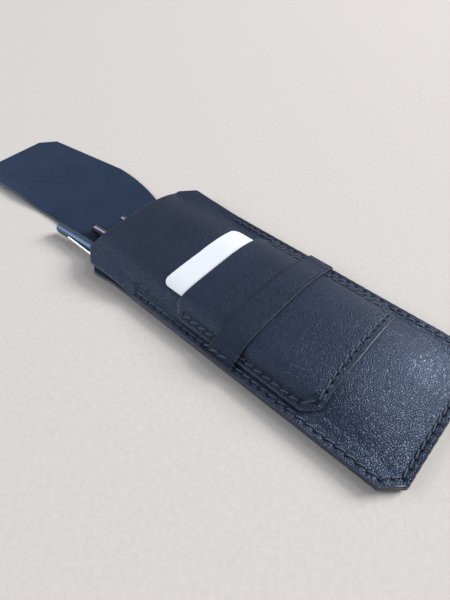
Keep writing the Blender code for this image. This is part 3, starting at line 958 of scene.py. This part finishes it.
def stitches(name, runs, surface, side, node):
    """All stitches of a seam as one mesh, laid on a surface, side -1 being the back."""
    points, quads = [], []
    for (x0, s0), (x1, s1), length, count in runs:
        along = np.array([x1 - x0, s1 - s0]) / length
        across = np.array([-along[1], along[0]])
        places = []
        for slant, share in ((-STITCH_SLANT, STITCH_MARGIN), (STITCH_SLANT, 1 - STITCH_MARGIN)):
            travel = (np.arange(count) + share) * length / count
            x = x0 + along[0] * travel + across[0] * slant
            s = s0 + along[1] * travel + across[1] * slant
            place, facing = surface(x, s)
            places.append(place - facing * side * STITCH_SINK)
        for start, end, up in zip(*places, facing * side):
            strand(points, quads, start, end, up, STITCH_SINK + STITCH_RISE)
    obj = add_piece(name, points, quads, [navy_thread])
    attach(obj, "case")
    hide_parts(node)


def case_top(x, s):
    """Top of the front panel along the seam, or of the strap where that lies on it."""
    panel, facing = laid(front_height, x, s, np.full_like(x, PANEL_LEATHER))
    band, band_facing = laid(strap_height, x, s, strap_under(x, s) + TRIM_LEATHER)
    on_strap = ((s > STRAP_LOW) & (s < STRAP_HIGH))[:, None]
    return np.where(on_strap, band, panel), np.where(on_strap, band_facing, facing)


def case_under(x, s):
    """Underside of the back panel along the seam."""
    return laid(back_height, x, s, np.zeros_like(x))


def pocket_top(x, s):
    """Top of the pocket along its seam."""
    return laid(pocket_height, x, s, pocket_swell(x, s) + TRIM_LEATHER)


stitches("seam_stitches_front", seam_runs, case_top, 1, "seam_thread_front")
stitches("seam_stitches_back", seam_runs, case_under, -1, "seam_thread_back")
stitches("pocket_stitches", pocket_runs, pocket_top, 1, "pocket_thread")

# Card
# A plain white visiting card with die-cut round corners, standing a finger's width
# out of the pocket. It takes the bow of the case.

CARD_LENGTH = 84 * MM
CARD_CORNER = 4 * MM
CARD_ABOVE_POCKET = 13.6 * MM
CARD_GAP = 0.15 * MM
CARD_HIGH = POCKET_HIGH + CARD_ABOVE_POCKET
CARD_LOW = CARD_HIGH - CARD_LENGTH


def card_edges(s, inset):
    """Left and right edge of the card, whose corners are round."""
    from_end = np.clip(np.minimum(s - CARD_LOW, CARD_HIGH - s), 0, CARD_CORNER)
    corner = CARD_CORNER - np.sqrt(np.maximum(0.0, CARD_CORNER**2 - (CARD_CORNER - from_end) ** 2))
    return -CARD_HALF + corner + inset, CARD_HALF - corner - inset


def card_stock(name, dark, light):
    """Uncoated white board: matt, with a very fine tooth."""
    look, tree, shader, place = plain_material(name)
    tooth = put(tree, "ShaderNodeTexNoise", {"Scale": 4.0 / MM, "Detail": 4.0}, {"Vector": place})
    bump = put(
        tree,
        "ShaderNodeBump",
        {"Strength": 0.4, "Distance": 0.02 * MM},
        {"Height": tooth.outputs["Fac"]},
    )
    tree.links.new(bump.outputs["Normal"], shader.inputs["Normal"])
    shade = put(
        tree,
        "ShaderNodeValToRGB",
        {"stops": [(0.3, dark), (0.8, light)]},
        {"Fac": tooth.outputs["Fac"]},
    )
    tree.links.new(shade.outputs["Color"], shader.inputs["Base Color"])
    shader.inputs["Roughness"].default_value = 0.55
    return look


# Uncoated board: plain matt white
white_board = card_stock("uncoated_white_board", "#eeeeec", "#f6f6f4")
corner_turn = np.linspace(0, math.pi / 2, 9)
corner_rows = list(CARD_CORNER * (1 - np.cos(corner_turn)))
card_rows = [CARD_LOW + t for t in corner_rows]
card_rows += evenly(CARD_LOW + CARD_CORNER, CARD_HIGH - CARD_CORNER, 1.5 * MM)[1:-1]
card_rows += [CARD_HIGH - t for t in reversed(corner_rows)]
card = sheet(
    "visiting_card_board",
    columns_to(1.0, 0.1, 0.03, 0.05),
    card_rows,
    card_edges,
    card_height,
    PANEL_LEATHER + CARD_GAP,
    CARD_THICKNESS,
    [white_board, white_board, white_board],
)
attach(card, "card")
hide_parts("visiting_card")

# Pens
# Three slim capped pens: a turned metal barrel and cap, lacquered, a sprung steel clip
# pinned near the cap's end, and under the cap a grip with a bright writing point.

PEN_RADIUS = 2.8 * MM
PEN_LENGTH = 136 * MM
CAP_LENGTH = 52 * MM
CAP_WALL = 0.5 * MM
CAP_END_WALL = 3 * MM
CAP_CLEARANCE = 0.3 * MM
CAP_DOME_HEIGHT = 2 * MM
CAP_DOME_WIDTH = 0.97
CAP_RING_ABOVE_RIM = 3.2 * MM
CHAMFER = 0.2 * MM
RING_SLOPE = 0.1 * MM
RING_FLOOR = 0.3 * MM
CAP_RING_DEPTH = 0.1 * MM
BARREL_RING_DEPTH = 0.12 * MM
BARREL_RING_BELOW_SHOULDER = 1.2 * MM
NECK_IN_CAP = 30 * MM
GRIP_RING_BELOW_TOP = 18 * MM
GRIP_RING_DEPTH = 0.25 * MM
GRIP_RING_SLOPE = 0.3 * MM
GRIP_RING_FLOOR = 0.7 * MM
POINT_LENGTH = 14 * MM
CLIP_LENGTH = 27 * MM
CLIP_WIDTH = 2.2 * MM
CLIP_THICKNESS = 0.5 * MM
CLIP_FOOT_STANDOFF = 0.15 * MM
CLIP_STANDOFF = 0.3 * MM
CLIP_FOOT = 3 * MM
CLIP_EDGE_EASE = 0.1 * MM
CLIP_EDGE_DROP = 0.02 * MM
CLIP_TAPER = 0.25
PEN_AXIS_Z = PANEL_LEATHER + LAYER_GAP + PEN_RADIUS
TURN_STEPS = 48


def lacquer(name, dark, light, roughness, metallic, coat):
    """Lacquered metal: even colour with a trace of flake, under a clear coat."""
    look, tree, shader, place = plain_material(name)
    flake = put(tree, "ShaderNodeTexNoise", {"Scale": 2.0 / MM, "Detail": 5.0}, {"Vector": place})
    shade = put(
        tree,
        "ShaderNodeValToRGB",
        {"stops": [(0.35, dark), (0.7, light)]},
        {"Fac": flake.outputs["Fac"]},
    )
    tree.links.new(shade.outputs["Color"], shader.inputs["Base Color"])
    shader.inputs["Roughness"].default_value = roughness
    shader.inputs["Metallic"].default_value = metallic
    shader.inputs["Specular IOR Level"].default_value = 0.3
    shader.inputs["Coat Weight"].default_value = coat
    shader.inputs["Coat Roughness"].default_value = 0.12
    return look


def steel(name, colour, roughness):
    """Polished steel with faint drawing lines."""
    look, tree, shader, place = plain_material(name)
    drawn = put(tree, "ShaderNodeMapping", {"Scale": (1.0, 0.05, 1.0)}, {"Vector": place})
    lines = put(
        tree,
        "ShaderNodeTexNoise",
        {"Scale": 6.0 / MM, "Detail": 2.0},
        {"Vector": drawn.outputs["Vector"]},
    )
    spread = put(
        tree,
        "ShaderNodeMapRange",
        {"To Min": roughness, "To Max": roughness + 0.1},
        {"Value": lines.outputs["Fac"]},
    )
    tree.links.new(spread.outputs["Result"], shader.inputs["Roughness"])
    shader.inputs["Base Color"].default_value = linear(colour)
    shader.inputs["Metallic"].default_value = 1.0
    return look


# Lacquered metal of the left pen: grey blue under a clear coat, with a broad soft streak
blue_lacquer = lacquer("steel_blue_lacquer", "#465a70", "#50657d", 0.4, 0.9, 0.2)
# Black lacquer of the other pens, rubbed to satin: deep black with a dull streak
black_lacquer = lacquer("black_pen_lacquer", "#0b0c10", "#111217", 0.45, 0.0, 0.0)
# Polished spring steel: white where it catches a lamp
bright_steel = steel("polished_spring_steel", "#f4f3f1", 0.26)
# Smoked spring steel: a violet grey, darker than the bright kind
smoked_steel = steel("smoked_spring_steel", "#74748a", 0.3)


def groove(radius, top, depth, slope, floor):
    """A ring cut into a turned piece, from its upper edge down."""
    low = top - slope - floor
    return [(radius, top), (radius - depth, top - slope), (radius - depth, low), (radius, low - slope)]


def turned(name, profile, look):
    """A turned piece about Z from radius and height pairs, given from top to bottom."""
    ring = 2 * math.pi * np.arange(TURN_STEPS) / TURN_STEPS
    points, faces, rings = [], [], []
    for radius, z in profile:
        if radius == 0.0:
            rings.append([len(points)] * TURN_STEPS)
            points.append((0.0, 0.0, z))
        else:
            rings.append(list(range(len(points), len(points) + TURN_STEPS)))
            points.extend((radius * math.cos(a), radius * math.sin(a), z) for a in ring)
    for upper, lower in zip(rings, rings[1:]):
        for k in range(TURN_STEPS):
            following = (k + 1) % TURN_STEPS
            face = [upper[k], lower[k], lower[following], upper[following]]
            faces.append(tuple(v for n, v in enumerate(face) if v != face[n - 1]))
    obj = add_piece(name, points, faces, [look])
    obj.data.set_sharp_from_angle(angle=math.radians(40))
    return obj


def bent_clip(name, top, spring, look):
    """The clip: a strip of spring steel with eased edges, its end curled outwards."""
    foot = PEN_RADIUS + CLIP_FOOT_STANDOFF
    tongue_low = PEN_RADIUS + CLIP_STANDOFF
    # From the top down: the foot on the cap, the step, the long spring and its curl
    stations = [
        (foot, top),
        (foot, top - CLIP_FOOT * 0.8),
        (tongue_low - 0.05 * MM, top - CLIP_FOOT - 0.4 * MM),
        (tongue_low + 0.02 * MM, top - CLIP_FOOT - 1.5 * MM),
        (tongue_low + spring * 0.5, top - CLIP_LENGTH * 0.5),
        (tongue_low + spring, top - CLIP_LENGTH + 4 * MM),
        (foot + spring, top - CLIP_LENGTH + 2 * MM),
        (foot + spring, top - CLIP_LENGTH + 1.2 * MM),
        (tongue_low + spring, top - CLIP_LENGTH),
    ]
    crown = np.linspace(0, math.pi, 11)
    section = [(CLIP_WIDTH / 2 * math.cos(a), CLIP_THICKNESS * (math.sin(a) - 0.5)) for a in crown]
    eased = CLIP_WIDTH / 2 - CLIP_EDGE_EASE
    base = CLIP_THICKNESS / 2 + CLIP_EDGE_DROP
    section += [(-eased, -base), (eased, -base)]
    points, faces = [], []
    for k, (radius, z) in enumerate(stations):
        before, after = stations[max(0, k - 1)], stations[min(len(stations) - 1, k + 1)]
        run = Vector((after[0] - before[0], after[1] - before[1])).normalized()
        out = Vector((-run.y, run.x))
        narrow = 1.0 - CLIP_TAPER * k / (len(stations) - 1)
        middle = Vector((radius + CLIP_THICKNESS / 2, z))
        for wide, thick in section:
            place = middle + out * thick
            points.append((place.x, wide * narrow, place.y))
    size = len(section)
    for k in range(len(stations) - 1):
        upper, lower = k * size, (k + 1) * size
        for n in range(size):
            following = (n + 1) % size
            faces.append((upper + n, upper + following, lower + following, lower + n))
    faces.append(tuple(reversed(range(size))))
    faces.append(tuple(range((len(stations) - 1) * size, len(stations) * size)))
    obj = add_piece(name, points, faces, [look])
    obj.data.set_sharp_from_angle(angle=math.radians(60))
    return obj


def make_pen(
    name,
    from_edge,
    out,
    lean,
    clip_from_end,
    clip_turn=18,
    clip_spring=0.0,
    cap_look=black_lacquer,
    clip_look=smoked_steel,
    cap_slot="black_lacquer",
):
    """A pen laid in the case: how far in from the left edge, out of the mouth and leaning.

    lean and clip_turn are in degrees, and a clip_turn of 0 has the clip on top.
    """
    bore = PEN_RADIUS - CAP_WALL
    grip = bore - CAP_CLEARANCE
    grip_top = NECK_IN_CAP - CAP_LENGTH
    shoulder = -CAP_LENGTH - CAP_CLEARANCE
    ring_top = shoulder - BARREL_RING_BELOW_SHOULDER
    end = -PEN_LENGTH
    rounded_end = [(1.0, 5), (0.97, 3.2), (0.9, 1.6), (0.78, 0.5), (0.62, 0.1), (0.5, 0), (0.0, 0)]
    barrel = turned(
        name + "_barrel_turned",
        [(0.0, grip_top), (grip * 0.9, grip_top), (grip, grip_top - 0.4 * MM)]
        + groove(
            grip,
            grip_top - GRIP_RING_BELOW_TOP,
            GRIP_RING_DEPTH,
            GRIP_RING_SLOPE,
            GRIP_RING_FLOOR,
        )
        + [(grip, shoulder), (PEN_RADIUS - CHAMFER, shoulder), (PEN_RADIUS, shoulder - CHAMFER)]
        + groove(PEN_RADIUS, ring_top, BARREL_RING_DEPTH, RING_SLOPE, RING_FLOOR)
        + [(PEN_RADIUS * share, end + height * MM) for share, height in rounded_end],
        black_lacquer,
    )
    point_low = grip_top + CAP_CLEARANCE
    point_top = point_low + POINT_LENGTH
    # From the top down: the ball, its tube, the long cone, a step and the collar
    point = turned(
        name + "_point_turned",
        [(0.0, point_top), (0.3 * MM, point_top - 0.08 * MM), (0.42 * MM, point_top - 0.4 * MM)]
        + [(0.42 * MM, point_top - 1.4 * MM), (0.9 * MM, point_top - 1.8 * MM)]
        + [(1.2 * MM, point_top - 4 * MM), (1.25 * MM, point_top - 4.6 * MM)]
        + [(1.6 * MM, point_top - 4.9 * MM), (2.2 * MM, point_low + 3.4 * MM)]
        + [(grip, point_low + 3 * MM), (grip, point_low + CHAMFER)]
        + [(grip - CHAMFER, point_low), (0.0, point_low)],
        bright_steel,
    )
    dome = [
        (PEN_RADIUS * CAP_DOME_WIDTH * math.sin(a), -CAP_DOME_HEIGHT * (1 - math.cos(a)))
        for a in np.linspace(0, math.pi / 2, 12)
    ]
    cap = turned(
        name + "_cap_turned",
        dome
        + [(PEN_RADIUS, -CAP_DOME_HEIGHT - 0.25 * MM)]
        + groove(PEN_RADIUS, CAP_RING_ABOVE_RIM - CAP_LENGTH, CAP_RING_DEPTH, RING_SLOPE, RING_FLOOR)
        + [(PEN_RADIUS, CHAMFER - CAP_LENGTH), (PEN_RADIUS - CHAMFER, -CAP_LENGTH)]
        + [(bore, -CAP_LENGTH), (bore, -CAP_END_WALL), (0.0, -CAP_END_WALL)],
        cap_look,
    )
    clip = bent_clip(name + "_clip_bent", -clip_from_end, clip_spring, clip_look)
    lean = math.radians(lean)
    along = Vector((-math.sin(lean), math.cos(lean), 0.0))
    up = Vector((0, 0, 1))
    across = along.cross(up)
    laid_down = Matrix((up, across, along)).transposed().to_4x4()
    end_x = from_edge - HALF + out * along.x
    laid_down.translation = (end_x, BOTTOM + CASE_LENGTH + out, PEN_AXIS_Z)
    for piece in (barrel, point, cap):
        piece.matrix_world = laid_down
    clip.matrix_world = laid_down @ Matrix.Rotation(-math.radians(clip_turn), 4, "Z")
    for piece, body, part, slot in (
        (barrel, name, "_barrel", "black_lacquer"),
        (point, name, "_point", "bright_metal"),
        (cap, name + "_cap", "_cap", cap_slot),
        (clip, name + "_cap", "_clip", "bright_metal"),
    ):
        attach(piece, body)
        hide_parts(name + part)


make_pen(
    "pen_left",
    from_edge=8.4 * MM,
    out=29.5 * MM,
    lean=4.2,
    clip_from_end=12 * MM,
    clip_turn=84,
    clip_spring=1.4 * MM,
    cap_look=blue_lacquer,
    clip_look=bright_steel,
    cap_slot="blue_lacquer",
)
make_pen("pen_middle", from_edge=19.4 * MM, out=15 * MM, lean=3.2, clip_from_end=3.5 * MM)
make_pen("pen_right", from_edge=33.4 * MM, out=8 * MM, lean=2.4, clip_from_end=1.6 * MM)

# Table, lamps and camera
# The case lies on a broad sheet of pale paper in a room with pale walls. A large soft
# lamp stands at its right, a weaker one above it, and a wide one far behind its flap.

TABLE_SIZE = 1.5
TABLE_GAP = 0.05 * MM
LAMPS_AIM = (0, 0.02, 0)
ROOM_STRENGTH = 0.19


def drawing_paper(name, dark, light):
    """Uncoated paper: quite matt, faintly mottled by its fibres."""
    look, tree, shader, place = plain_material(name)
    fibre = put(tree, "ShaderNodeTexNoise", {"Scale": 0.5 / MM, "Detail": 5.0}, {"Vector": place})
    shade = put(
        tree,
        "ShaderNodeValToRGB",
        {"stops": [(0.3, dark), (0.7, light)]},
        {"Fac": fibre.outputs["Fac"]},
    )
    tree.links.new(shade.outputs["Color"], shader.inputs["Base Color"])
    shader.inputs["Roughness"].default_value = 0.95
    shader.inputs["Specular IOR Level"].default_value = 0.2
    return look


# Heavy paper, a warm pale grey without any shine
pale_paper = drawing_paper("pale_paper", "#dad1c5", "#e0d8cd")
reach = TABLE_SIZE / 2
corners = [(-reach, -reach), (reach, -reach), (reach, reach), (-reach, reach)]
table = add_piece("table", [(x, y, -TABLE_GAP) for x, y in corners], [(0, 1, 2, 3)], [pale_paper])


def lamp(name, place, width, height, power, colour):
    """A rectangular soft lamp that faces the case."""
    light = bpy.data.lights.new(name, "AREA")
    light.shape = "RECTANGLE"
    light.size = width
    light.size_y = height
    light.energy = power
    light.color = linear(colour)[:3]
    obj = bpy.data.objects.new(name, light)
    obj.location = place
    obj.rotation_euler = (Vector(LAMPS_AIM) - Vector(place)).to_track_quat("-Z", "Y").to_euler()
    obj.visible_camera = False
    bpy.context.scene.collection.objects.link(obj)


lamp("window_lamp", (2.9, -1.8, 2.0), width=1.8, height=1.6, power=190.0, colour="#f4f7ff")
lamp("ceiling_lamp", (1.7, -1.5, 3.3), width=1.6, height=1.6, power=37.0, colour="#eaf1ff")
lamp("sky_lamp", (-2.0, 2.5, 1.8), width=3.2, height=2.0, power=68.0, colour="#e6eeff")

world = bpy.data.worlds.new("room_light")
world.use_nodes = True
world_tree = world.node_tree
dim_room = world_tree.nodes["Background"]
dim_room.inputs["Color"].default_value = linear("#e9edf4")
dim_room.inputs["Strength"].default_value = ROOM_STRENGTH
# Cameras and shiny things see the pale wall; its dim light falls on all else
wall = put(world_tree, "ShaderNodeBackground", {"Color": linear("#b9b7b4"), "Strength": 1.0})
ray = put(world_tree, "ShaderNodeLightPath", {}).outputs
mirrored = put(
    world_tree,
    "ShaderNodeMath",
    {"operation": "ADD"},
    {0: ray["Is Glossy Ray"], 1: ray["Is Transmission Ray"]},
)
seen = put(
    world_tree,
    "ShaderNodeMath",
    {"operation": "ADD", "use_clamp": True},
    {0: ray["Is Camera Ray"], 1: mirrored.outputs[0]},
)
both = put(
    world_tree,
    "ShaderNodeMixShader",
    {},
    {0: seen.outputs[0], 1: dim_room.outputs[0], 2: wall.outputs[0]},
)
world_tree.links.new(both.outputs[0], world_tree.nodes["World Output"].inputs["Surface"])
bpy.context.scene.world = world

CAMERA_LENS = 26.4
CAMERA_SENSOR = 36
CAMERA_NEAR = 5 * MM
CAMERA_PLACE = (-104.3 * MM, -74.6 * MM, 162.0 * MM)
CAMERA_RIGHT = Vector((0.6715, -0.7405, -0.0208))
CAMERA_UP = Vector((0.5813, 0.5093, 0.6348))
camera_data = bpy.data.cameras.new("camera")
camera_data.sensor_width = CAMERA_SENSOR
camera_data.lens = CAMERA_LENS
camera_data.clip_start = CAMERA_NEAR
camera = bpy.data.objects.new("camera", camera_data)
back_way = CAMERA_RIGHT.cross(CAMERA_UP)
turned_to_case = Matrix((CAMERA_RIGHT, CAMERA_UP, back_way)).transposed().to_4x4()
camera.matrix_world = Matrix.Translation(CAMERA_PLACE) @ turned_to_case
bpy.context.scene.collection.objects.link(camera)
bpy.context.scene.camera = camera
bpy.context.scene.view_settings.view_transform = "Standard"
